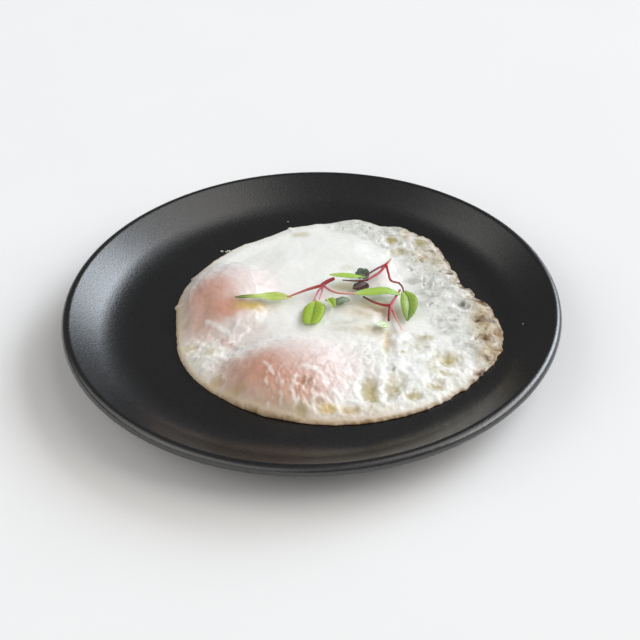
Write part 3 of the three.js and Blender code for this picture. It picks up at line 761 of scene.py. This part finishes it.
def egg_material():
    """Set white: milky, wet and slightly translucent, with pits too fine for the mesh."""
    white = Finish("fried_egg", Subsurface_Weight=0.2, Subsurface_Scale=0.001,
                   Subsurface_Radius=(1.0, 0.88, 0.75), Coat_Weight=0.12, Coat_Roughness=0.25)
    tint = white.attribute("tint", "Color")
    lace = white.attribute("lace")
    mottle = white.ranged(white.noise(1.1, detail=4), 0.35, 0.7, 0, 0.1)
    mottled = white.mix(mottle, tint, "c9bfae", "MULTIPLY")
    specks = white.ranged(white.noise(0.9, detail=2), 0.6, 0.75, 0, 0.15)
    colour = white.mix(white.maths("MULTIPLY", specks, lace), mottled, "8b8272")
    skin = white.bump(white.noise(2.2, detail=5, roughness=0.62), 0.24, 0.55)
    holes = white.maths("MULTIPLY", white.ranged(white.cells(0.9), 0.0, 0.45, 0, 1), lace)
    normal = white.bump(holes, 0.1, 0.4, skin)
    roughness = white.ranged(white.noise(1.6, detail=3), 0.3, 0.7, 0.38, 0.55)
    return white.connect(Base_Color=colour, Roughness=roughness, Normal=normal)


# ---- the eggs as one mesh


def stitch(faces, outer, inner):
    """Adds a strip of triangles between two rings of points, whatever their counts."""
    i = j = 0
    while i < len(outer) or j < len(inner):
        a, b = outer[i % len(outer)], inner[j % len(inner)]
        if (i + 1) * len(inner) <= (j + 1) * len(outer):
            i += 1
            faces.append((a, outer[i % len(outer)], b))
        else:
            j += 1
            faces.append((a, inner[j % len(inner)], b))


def egg_rings():
    """Rings of points as count, share of the outline's radius, inset and drop below the edge."""
    rim_count = EGG_SECTORS * EGG_RINGS
    rings = [(1, 0, 0, 0)]
    rings += [(EGG_SECTORS * k, RIM_SHARE * k / EGG_RINGS, 0, 0) for k in range(1, EGG_RINGS + 1)]
    for k in range(1, RIM_RINGS + 1):
        rings.append((rim_count, RIM_SHARE + (1 - RIM_SHARE) * sin(pi / 2 * k / RIM_RINGS), 0, 0))
    for turn in (pi / 6, pi / 3, pi / 2):
        rings.append((rim_count, 1, RIM_UNDERCUT * (1 - cos(turn)), sin(turn)))
    return rings + [(rim_count // 3, 0.9, 0, 1), (1, 0, 0, 1)]


def build_eggs():
    """Both eggs and their white as one closed skin."""
    rings = egg_rings()
    bearing = np.concatenate([np.arange(count) * 360 / count for count, *_ in rings])
    share, inset, drop = np.repeat([ring[1:] for ring in rings], [ring[0] for ring in rings], axis=0).T
    outline = fine_outline(bearing)
    reach = outline * share - inset
    inward = outline - reach
    x, y = egg_point(bearing, reach)
    thick, parts = fine_thickness(x, y)
    thick = thick * (1 - 0.5 * ramp(RIM_TAPER, 0, inward))
    edge = 0.3 * np.clip(thick, 1, 4.5)
    top = rounded(np.maximum(thick, FINE_LEAST_THICKNESS), edge, inward, FINE_RIM_ROUND)
    height = np.where(drop > 0, edge * (1 - drop), top)
    points = np.column_stack([x, y, plate_top(np.hypot(x, y)) + EGG_LIFT + height])
    faces = []
    inner = range(1)
    for count, *_ in rings[1:]:
        outer = range(inner.stop, inner.stop + count)
        stitch(faces, outer, inner)
        inner = outer
    packed = ("egg_white", "yolk_left", "yolk_front")
    eggs = new_piece("fried_eggs", points, faces, egg_material(), "egg_white", *packed)
    paint(eggs, "tint", egg_colours(x, y, inward, parts))
    paint(eggs, "lace", parts["lace"])


# ---- microgreens

# Where stems branch: x, y and clearance over the eggs.
FORK_A = (5.4, 12.7, 2.4)
FORK_B = (34.7, 31.1, 2.4)
FORK_B_FAR = (25.6, 18.4, 2.5)
FORK_B_LOW = (39.9, 17.5, 2.4)
FORK_C = (35.2, 2, 0.6)

# Stems of each sprig: radius at both ends, colour at both ends, and the points of their path.
SPRIGS = {
    "sprig_a_stem": [
        (0.78, 1.02, "8f2029", "a12a33", [(10.1, 15.6, 3.4), (7.6, 14.2, 3), FORK_A]),
        (0.78, 0.4, "a12a33", "d08a7c", [FORK_A, (-1.4, 9.6, 2.4), (-10.5, 5.2, 1.6)]),
        (0.5, 0.36, "b0525f", "c9808c", [FORK_A, (3, 8.5, 1.8), (1.3, 3.6, 0.9)]),
        (0.46, 0.34, "bb6470", "d8a3a4", [FORK_A, (4.9, 9.3, 1.8), (3.7, 4.6, 0.9)]),
        (0.52, 0.5, "c1636b", "eebbb4", [FORK_A, (8.6, 8.6, 2.4), (12, 7.4, 1.8), (20.5, 7.4, 1.8)]),
    ],
    "sprig_b_stem": [
        (0.5, 0.6, "dcdaa4", "b0303b", [(37.6, 40.4, 1.1), (36.2, 35, 1.8), FORK_B]),
        (0.56, 0.44, "8a2730", "5b2227", [FORK_B, (30.4, 27, 3), (25.2, 21.4, 3.1)]),
        (0.62, 0.5, "c03340", "a32c38", [FORK_B, (31.6, 25.4, 2.2), FORK_B_FAR]),
        (0.42, 0.3, "7c2c30", "5e2a24", [FORK_B_FAR, (20.6, 17.4, 2.3), (14.4, 17.4, 2.2)]),
        (0.58, 0.48, "b8303c", "9e2a36", [FORK_B, (35.3, 23, 3.2), (36.3, 16.9, 3.2), FORK_B_LOW]),
        (0.46, 0.4, "7a2c30", "6f5a34", [FORK_B_LOW, (41.2, 15.2, 2.6), (41.6, 12.2, 2.6)]),
    ],
    "sprig_c_stem": [
        (0.5, 0.66, "a84852", "bd4854", [(40.1, 13.8, 1.2), (37.2, 6.6, 0.8), FORK_C]),
        (0.6, 0.42, "b0303e", "6a3a30", [FORK_C, (31.4, 2.2, 0.5), (27.6, 3.8, 0.5), (23.4, 7.4, 0.3)]),
        (0.86, 0.62, "ab2f3b", "6d4732", [FORK_C, (34.7, -1.4, 0.5), (34, -7.2, 0.3)]),
        (0.56, 0.32, "bd4252", "ecd0cb",
         [FORK_C, (37, -3.4, 0.5), (38.4, -8.4, 0.5), (39.6, -13.8, 0.2)]),
    ],
}
STEM_VOXEL = 0.13
STEM_SIDES = 14
STEM_CAP_STEPS = 3.2
STEM_STEP = 0.45

# Leaves: rib as x, y, clearance, then width, roll and fold in degrees, slot, half-widths as
# shares of the widest at even steps from base to tip, and the colours of base, middle, tip and rib.
LEAVES = {
    "leaf_a_long": ([(-8.6, 5.7, 1.6), (-18.3, 5, 1.8), (-26, 2, 1.4), (-33.7, 1, 0.8)],
        5.4, 8, 20, "green_leaf", (0.15, 0.6, 0.95, 1, 0.8, 0.5, 0.42, 0.42, 0.34, 0.06),
        ("c9cf8c", "b4c660", "4a6333", "bcc87a")),
    # The heart leaf's dark rib colour is painted shade in the fold along its rib.
    "leaf_a_heart": ([(1.9, 4, 0.7), (1.3, -2.8, 1.5), (-0.4, -12.6, 0.3)],
        9.8, -6, 14, "green_leaf", (0.1, 0.5, 0.8, 0.95, 1, 1, 0.98, 0.92, 0.82, 0.6),
        ("b7c962", "a3bd48", "a8c24a", "6d8c34")),
    "leaf_a_right": ([(18.4, 7.3, 1.8), (26, 8.4, 2.6), (34, 9.8, 2.9), (40, 9.8, 2.2)],
        7.2, 10, 18, "green_leaf", (0.12, 0.5, 0.8, 0.95, 1, 1, 0.95, 0.85, 0.62, 0.12),
        ("bccf78", "a3c44e", "8cb843", "c4d690")),
    "leaf_b_top": ([(24.4, 20, 3.2), (17.5, 19.4, 3.7), (8.4, 19.6, 3.6)],
        5.8, -16, 16, "green_leaf", (0.1, 0.4, 0.7, 0.9, 1, 1, 0.92, 0.75, 0.5, 0.08),
        ("8fb63e", "a6c84c", "b6ca72", "c1d184")),
    "leaf_b_grey": ([(26.4, 24.6, 0.4), (23.4, 25.2, 1.2), (20.6, 23.6, 0.6)],
        6, 30, 34, "dark_leaf", (0.15, 0.7, 0.8, 1, 0.8, 0.95, 0.9, 0.6, 0.75, 0.15),
        ("4f5d4c", "5a6a5c", "3d4c42", "a2aca0")),
    "leaf_b_dark": ([(25.6, 17.2, 1.6), (22.6, 14.6, 1.2), (18.8, 13, 0.8)],
        6.4, 4, 26, "dark_leaf", (0.1, 0.6, 0.9, 1, 0.8, 0.9, 0.75, 0.85, 0.5, 0.1),
        ("3f2c2a", "3a2725", "2c211f", "8a5a5c")),
    "leaf_b_lobed": ([(41.6, 11.9, 2.6), (43.3, 7.4, 3), (43.5, 1.3, 2.6), (42.3, -6.2, 0.6)],
        8, 0, 24, "green_leaf", (0.3, 0.62, 0.85, 0.95, 1, 0.95, 0.85, 0.7, 0.45, 0.1),
        ("a8c05e", "98b254", "7f9c4c", "5f7440")),
    "leaf_c_pale": ([(33.4, -9.2, 0.3), (31.2, -10.9, 0.7), (28.4, -12.2, 0.3)],
        5.4, 0, 16, "green_leaf", (0.2, 0.8, 0.95, 1, 0.98, 0.95, 0.9, 0.75, 0.5, 0.15),
        ("b9cc94", "d2dfba", "e4ead6", "e8ecdc")),
    "leaf_c_curl": ([(6.6, 4, 0.4), (8.3, 2.2, 1.2), (10, -0.8, 0.3)],
        4.6, 12, 40, "green_leaf", (0.1, 0.5, 0.8, 1, 1, 0.9, 0.8, 0.6, 0.4, 0.05),
        ("93b048", "a4c250", "b8c868", "5c7a30")),
    "leaf_c_grey": ([(11.3, 1.3, 0.3), (13.6, 3.1, 0.9), (17.3, 4.1, 0.5)],
        6, 8, 22, "dark_leaf", (0.15, 0.7, 0.95, 1, 0.85, 0.95, 0.9, 0.75, 0.6, 0.1),
        ("667657", "7f8f77", "74806a", "c2c8bc")),
}
LEAF_ROWS = 40
LEAF_COLUMNS = 20
LEAF_VEINS = 7
LEAF_UNDERSIDE = linear("aebf8e")


def over_eggs(path, half_body):
    """Turns x, y and clearance into points over the eggs."""
    x, y, clearance = np.array(path, dtype=float).T
    return np.column_stack([x, y, cad_top(x, y) + GARNISH_CLEARANCE + clearance + half_body])


def keep_off(points, half_body):
    """Lifts points that would come closer to the eggs than the garnish may."""
    return np.maximum(points, over_eggs(points * (1, 1, 0), half_body))


def smooth_path(points, count):
    """Evenly spaced points on a smooth curve through the given ones."""
    chords = np.linalg.norm(np.diff(points, axis=0), axis=1)
    knots = np.concatenate([[0], np.cumsum(chords ** 0.5)])
    slopes = np.gradient(points, knots, axis=0)
    t = np.linspace(0, knots[-1], 60 * len(points))
    k = np.clip(np.searchsorted(knots, t, side="right") - 1, 0, len(points) - 2)
    span = (knots[k + 1] - knots[k])[:, None]
    u = (t - knots[k])[:, None] / span
    start = points[k] * (1 + 2 * u) + slopes[k] * span * u
    end = points[k + 1] * (3 - 2 * u) + slopes[k + 1] * span * (u - 1)
    curve = start * (1 - u) ** 2 + end * u ** 2
    along = np.concatenate([[0], np.cumsum(np.linalg.norm(np.diff(curve, axis=0), axis=1))])
    even = np.linspace(0, along[-1], count)
    return np.column_stack([np.interp(even, along, curve[:, axis]) for axis in range(3)])


def path_frame(path):
    """Unit vectors across and out of a path that never stands upright, and along it."""
    along = np.gradient(path, axis=0)
    along /= np.linalg.norm(along, axis=1)[:, None]
    across = np.cross(along, (0, 0, 1))
    across /= np.linalg.norm(across, axis=1)[:, None]
    return across, np.cross(across, along), along


def add_tube(points, faces, path, radii):
    """Adds a tube with round ends to the points and faces."""
    across, out, along = path_frame(path)
    turns = [pi / 2 * k / STEM_CAP_STEPS for k in (1, 2, 3)]
    rings = [(path[0] - along[0] * radii[0] * sin(a), radii[0] * cos(a), 0) for a in turns[::-1]]
    rings += zip(path, radii, range(len(path)))
    rings += [(path[-1] + along[-1] * radii[-1] * sin(a), radii[-1] * cos(a), -1) for a in turns]
    first = len(points)
    for middle, reach, at in rings:
        for a in np.arange(STEM_SIDES) * tau / STEM_SIDES:
            points.append(middle + reach * (cos(a) * across[at] + sin(a) * out[at]))
    last = len(points) - STEM_SIDES
    faces.append(tuple(range(first, first + STEM_SIDES)))
    for ring in range(first, last, STEM_SIDES):
        faces += [(a, d, c, b) for a, b, c, d in band(ring, STEM_SIDES)]
    faces.append(tuple(reversed(range(last, last + STEM_SIDES))))


def fused(points, faces, voxel):
    """One skin round overlapping tubes, as points in millimetres and faces."""
    loose = placed_mesh("loose", points, faces)
    mesh = loose.data
    skin = loose.modifiers.new("skin", "REMESH")
    skin.mode = "VOXEL"
    skin.voxel_size = voxel * MM
    smooth = loose.modifiers.new("smooth", "SMOOTH")
    smooth.iterations = 4
    ready = loose.evaluated_get(bpy.context.evaluated_depsgraph_get()).to_mesh()
    found = np.empty(len(ready.vertices) * 3)
    ready.vertices.foreach_get("co", found)
    polygons = [tuple(p.vertices) for p in ready.polygons]
    bpy.data.objects.remove(loose)
    bpy.data.meshes.remove(mesh)
    return found.reshape(-1, 3) / MM, polygons


def stem_material():
    stem = Finish("stem_skin", Roughness=0.38, Subsurface_Weight=0.3, Subsurface_Scale=0.0006,
                  Subsurface_Radius=(1.0, 0.35, 0.3))
    streaks = stem.ranged(stem.noise(0.8, detail=3), 0.35, 0.7, 0, 0.28)
    colour = stem.mix(streaks, stem.attribute("tint", "Color"), "c9707a", "SOFT_LIGHT")
    return stem.connect(Base_Color=colour, Normal=stem.bump(stem.noise(0.5), 0.05, 0.4))


def build_stems(material):
    """Each sprig's stems as one skin, coloured after the nearest stem."""
    for name, stems in SPRIGS.items():
        points, faces, samples, tints = [], [], [], []
        for start_radius, end_radius, start_colour, end_colour, path in stems:
            rough = over_eggs(path, (start_radius + end_radius) / 2)
            length = np.linalg.norm(np.diff(rough, axis=0), axis=1).sum()
            centre = smooth_path(rough, max(8, round(length / STEM_STEP)))
            share = np.linspace(0, 1, len(centre))
            radii = start_radius + (end_radius - start_radius) * share
            radii *= 1 + 0.06 * ripple(centre[:, 0] * 2, centre[:, 1] * 2, 1.7, 83)
            add_tube(points, faces, keep_off(centre, radii), radii)
            samples.append(centre)
            tints.append(blended(linear(start_colour), linear(end_colour), share))
        skin, polygons = fused(points, faces, STEM_VOXEL)
        piece = new_piece(name + "_skin", skin, polygons, material, "red_stem", name)
        samples, tints = np.concatenate(samples), np.concatenate(tints)
        distance = np.linalg.norm(skin[:, None, :] - samples[None, :, :], axis=2)
        weight = 1 / (distance + 0.1) ** 6
        paint(piece, "tint", (weight @ tints) / weight.sum(axis=1)[:, None])


def leaf_material(name):
    leaf = Finish(name, Subsurface_Weight=0.25, Subsurface_Scale=0.0007,
                  Subsurface_Radius=(0.7, 1.0, 0.3), Coat_Weight=0.1, Coat_Roughness=0.3)
    blotches = leaf.ranged(leaf.noise(1.3, detail=4), 0.35, 0.7, 0, 0.35)
    colour = leaf.mix(blotches, leaf.attribute("tint", "Color"), "a9b36a", "SOFT_LIGHT")
    cells = leaf.bump(leaf.cells(0.35), 0.05, 0.5)
    roughness = leaf.ranged(leaf.noise(0.9), 0.3, 0.7, 0.36, 0.52)
    return leaf.connect(Base_Color=colour, Roughness=roughness, Normal=cells)


def rounded_steps(steps, count):
    """A smooth run of numbers through the given even steps."""
    fine = np.interp(np.linspace(0, 1, 10 * count), np.linspace(0, 1, len(steps)), steps)
    reach = 10 * count // len(steps)
    window = np.hanning(reach + 2)[1:-1]
    padded = np.concatenate([np.full(reach, steps[0]), fine, np.full(reach, steps[-1])])
    smooth = np.convolve(padded, window / window.sum(), "same")[reach:-reach]
    return np.interp(np.linspace(0, 1, count), np.linspace(0, 1, len(smooth)), smooth)


def build_leaf(name, material):
    """A thin blade, cupped along its rib and drawn through with veins."""
    rib, width, roll, fold, slot, widths, shades = LEAVES[name]
    half = LEAF_THICKNESS / 2
    rows, columns = LEAF_ROWS, LEAF_COLUMNS
    along, side = np.meshgrid(np.linspace(0, 1, rows + 1), np.linspace(-1, 1, columns + 1), indexing="ij")
    off = np.abs(side)
    middle = smooth_path(over_eggs(rib, half), rows + 1)
    level, upright, _ = path_frame(middle)
    turn = radians(roll)
    across = level * cos(turn) + upright * sin(turn)
    out = upright * cos(turn) - level * sin(turn)
    reach = (width / 2 * rounded_steps(widths, rows + 1))[:, None]
    vein = np.sin((along * LEAF_VEINS - 1.1 * off) * tau)
    lift = off * reach * tan(radians(fold))
    lift = lift - 0.25 * reach * side ** 4 + 0.05 * vein * np.sin(off * pi)
    lift = lift + 0.16 * side ** 2 * ripple(along * width * 4, 0 * along, 2.2, len(name))
    lift = lift - 0.1 * np.exp(-(side / 0.07) ** 2)
    sheet = middle[:, None] + (side * reach)[..., None] * across[:, None] + lift[..., None] * out[:, None]
    sheet = keep_off(sheet.reshape(-1, 3), half)
    thin = np.repeat(out, columns + 1, axis=0) * half * (1 - 0.55 * off ** 3).reshape(-1, 1)
    points = np.concatenate([sheet + thin, sheet - thin])
    under = len(sheet)
    grid = np.arange(under).reshape(rows + 1, columns + 1)
    upper = np.stack([grid[:-1, :-1], grid[:-1, 1:], grid[1:, 1:], grid[1:, :-1]], axis=-1).reshape(-1, 4)
    faces = [*upper.tolist(), *(upper[:, [0, 3, 2, 1]] + under).tolist()]
    for edge in (grid[::-1, 0], grid[:, -1], grid[0, ::-1], grid[-1]):
        faces += [(a, b, under + b, under + a) for a, b in zip(edge.tolist(), edge[1:].tolist())]
    base, blade, tip, rib_tint_and_crease_shade = map(linear, shades)
    s, e = along.ravel(), off.ravel()
    tint = blended(base, blade, ramp(0, 0.35, s))
    tint = blended(tint, tip, ramp(0.55, 1, s))
    # The rib colour is the rib's own on most leaves; on leaf_a_heart it is painted shade in the fold
    # along the rib.
    tint = blended(tint, rib_tint_and_crease_shade, 0.8 * np.exp(-(e / 0.09) ** 2) + 0.12 * vein.ravel() * (e > 0.1))
    piece = new_piece(name + "_blade", points, faces, material, slot, name)
    paint(piece, "tint", np.concatenate([tint, blended(tint, LEAF_UNDERSIDE, np.full(under, 0.35))]))


# Dry flecks of white on the plate beside the eggs: x, y and width.
FLECKS = [
    (-42.4, 57.1, 1.1), (-40.3, 56.5, 0.8), (-38.7, 56.9, 1.2), (-37.6, 56.6, 1), (-36.6, 57.8, 0.8),
    (-39.6, 57.5, 0.6), (-10.9, 81.4, 0.6), (93, -10, 0.5),
]
FLECK_SIDES = 12
FLECK_LIFT = 0.05
FLECK_LEVELS = ((0.75, 0), (1, 0.3), (0.6, 0.6))


def build_flecks():
    """Irregular flat grains that lie on the glaze."""
    points, faces = [], []
    sides = FLECK_SIDES
    for number, (x, y, width) in enumerate(FLECKS):
        seat = float(plate_top(hypot(x, y))) + FLECK_LIFT
        first = len(points)
        for share, rise in FLECK_LEVELS:
            for j in range(sides):
                a = tau * j / sides
                reach = width / 2 * share * (0.55 + 0.9 * cell_number(number, j // 2, 97))
                height = seat + rise * width * (0.5 + 0.3 * cell_number(number, j // 3, 98))
                points.append((x + reach * cos(a) * 1.3, y + reach * sin(a), height))
        faces += band(first, sides) + band(first + sides, sides)
        faces.append(tuple(reversed(range(first, first + sides))))
        faces.append(tuple(range(first + 2 * sides, first + 3 * sides)))
    dry = Finish("dry_white", Roughness=0.55, Subsurface_Weight=0.2, Subsurface_Scale=0.0005)
    colour = dry.mix(dry.ranged(dry.noise(0.5), 0.3, 0.7, 0, 1), "e9e4d8", "c9bda6")
    new_piece("white_flecks", points, faces, dry.connect(Base_Color=colour), "egg_white")


def build_garnish():
    build_stems(stem_material())
    finishes = {"green_leaf": leaf_material("tender_leaf"), "dark_leaf": leaf_material("shaded_leaf")}
    for name, leaf in LEAVES.items():
        build_leaf(name, finishes[leaf[4]])


# ---- studio

CAMERA_LENS = 85
CAMERA_SENSOR = 36
CAMERA_ELEVATION = radians(37.05)
CAMERA_ROLL = radians(-1.27)
CAMERA_DISTANCE = 669.7
CAMERA_AIM = Vector((3.71, -4.05, 12))

# Soft lights: name, bearing and height in degrees, size in metres, power in watts and colour.
SOFT_LIGHTS = [
    ("window", 40, 28, (7.6, 6.0), 620, "ecf5ff"),
    ("window_top", 34, 33, (6, 5), 300, "ecf5ff"),
    ("window_side", 50, 20, (6, 4), 140, "ecf5ff"),
    ("right_fill", 355, 30, (8, 6), 620, "fffcf8"),
    ("top_right", 0, 60, (9, 8), 290, "fffcf8"),
    ("front_fill", 270, 50, (15, 10), 205, "fffdfa"),
    ("low_left", 225, 28, (14, 9), 310, "fffcf8"),
    ("left_fill", 180, 40, (13, 9), 370, "fffdfa"),
]
LIGHT_DISTANCE = 12
ROOM_LEVEL = 0.12
BACKDROP_LEVEL = 0.9
FLOOR_REACH = 4000


def build_camera():
    data = bpy.data.cameras.new("camera")
    data.lens = CAMERA_LENS
    data.sensor_width = CAMERA_SENSOR
    data.clip_start = 0.01
    camera = placed("camera", data)
    tilt = Matrix.Rotation(pi / 2 - CAMERA_ELEVATION, 4, "X") @ Matrix.Rotation(CAMERA_ROLL, 4, "Z")
    back = Matrix.Translation((0, 0, CAMERA_DISTANCE * MM))
    camera.matrix_world = Matrix.Translation(CAMERA_AIM * MM) @ tilt @ back
    bpy.context.scene.camera = camera


def area_light(name, bearing, height, size, power, colour):
    """A soft rectangular light that faces the plate."""
    data = bpy.data.lights.new(name, "AREA")
    data.shape = "RECTANGLE"
    data.size, data.size_y = size
    data.energy = power
    data.color = linear(colour)
    light = placed(name, data)
    out = Vector((LIGHT_DISTANCE, 0, 0))
    out.rotate(Euler((0, -radians(height), radians(bearing))))
    light.location = out
    light.rotation_euler = out.to_track_quat("Z", "Y").to_euler()


def build_floor():
    reach = FLOOR_REACH
    corners = [(-reach, -reach, 0), (reach, -reach, 0), (reach, reach, 0), (-reach, reach, 0)]
    floor = placed_mesh("floor", corners, [(0, 1, 2, 3)])
    paper = Finish("white_paper", Roughness=0.9, Specular_IOR_Level=0.1)
    colour = paper.mix(paper.noise(60, detail=2), "eeeeee", "f1f1f1")
    floor.data.materials.append(paper.connect(Base_Color=colour))


def build_world():
    """A dim, even room, which the camera alone sees as a pale backdrop."""
    world = bpy.data.worlds.new("studio")
    world.use_nodes = True
    nodes, links = world.node_tree.nodes, world.node_tree.links
    room = nodes["Background"]
    backdrop = nodes.new("ShaderNodeBackground")
    for background, level in ((room, ROOM_LEVEL), (backdrop, BACKDROP_LEVEL)):
        background.inputs["Color"].default_value = (1, 1, 1, 1)
        background.inputs["Strength"].default_value = level
    seen = nodes.new("ShaderNodeLightPath").outputs["Is Camera Ray"]
    either = nodes.new("ShaderNodeMixShader")
    for socket, source in zip(either.inputs, (seen, room.outputs[0], backdrop.outputs[0])):
        links.new(source, socket)
    links.new(either.outputs[0], nodes["World Output"].inputs["Surface"])
    bpy.context.scene.world = world
    bpy.context.scene.view_settings.view_transform = "Standard"


def build_studio():
    build_floor()
    build_world()
    for light in SOFT_LIGHTS:
        area_light(*light)
    build_camera()


# ---- assembly

build_plate()
build_eggs()
build_garnish()
build_flecks()
build_studio()
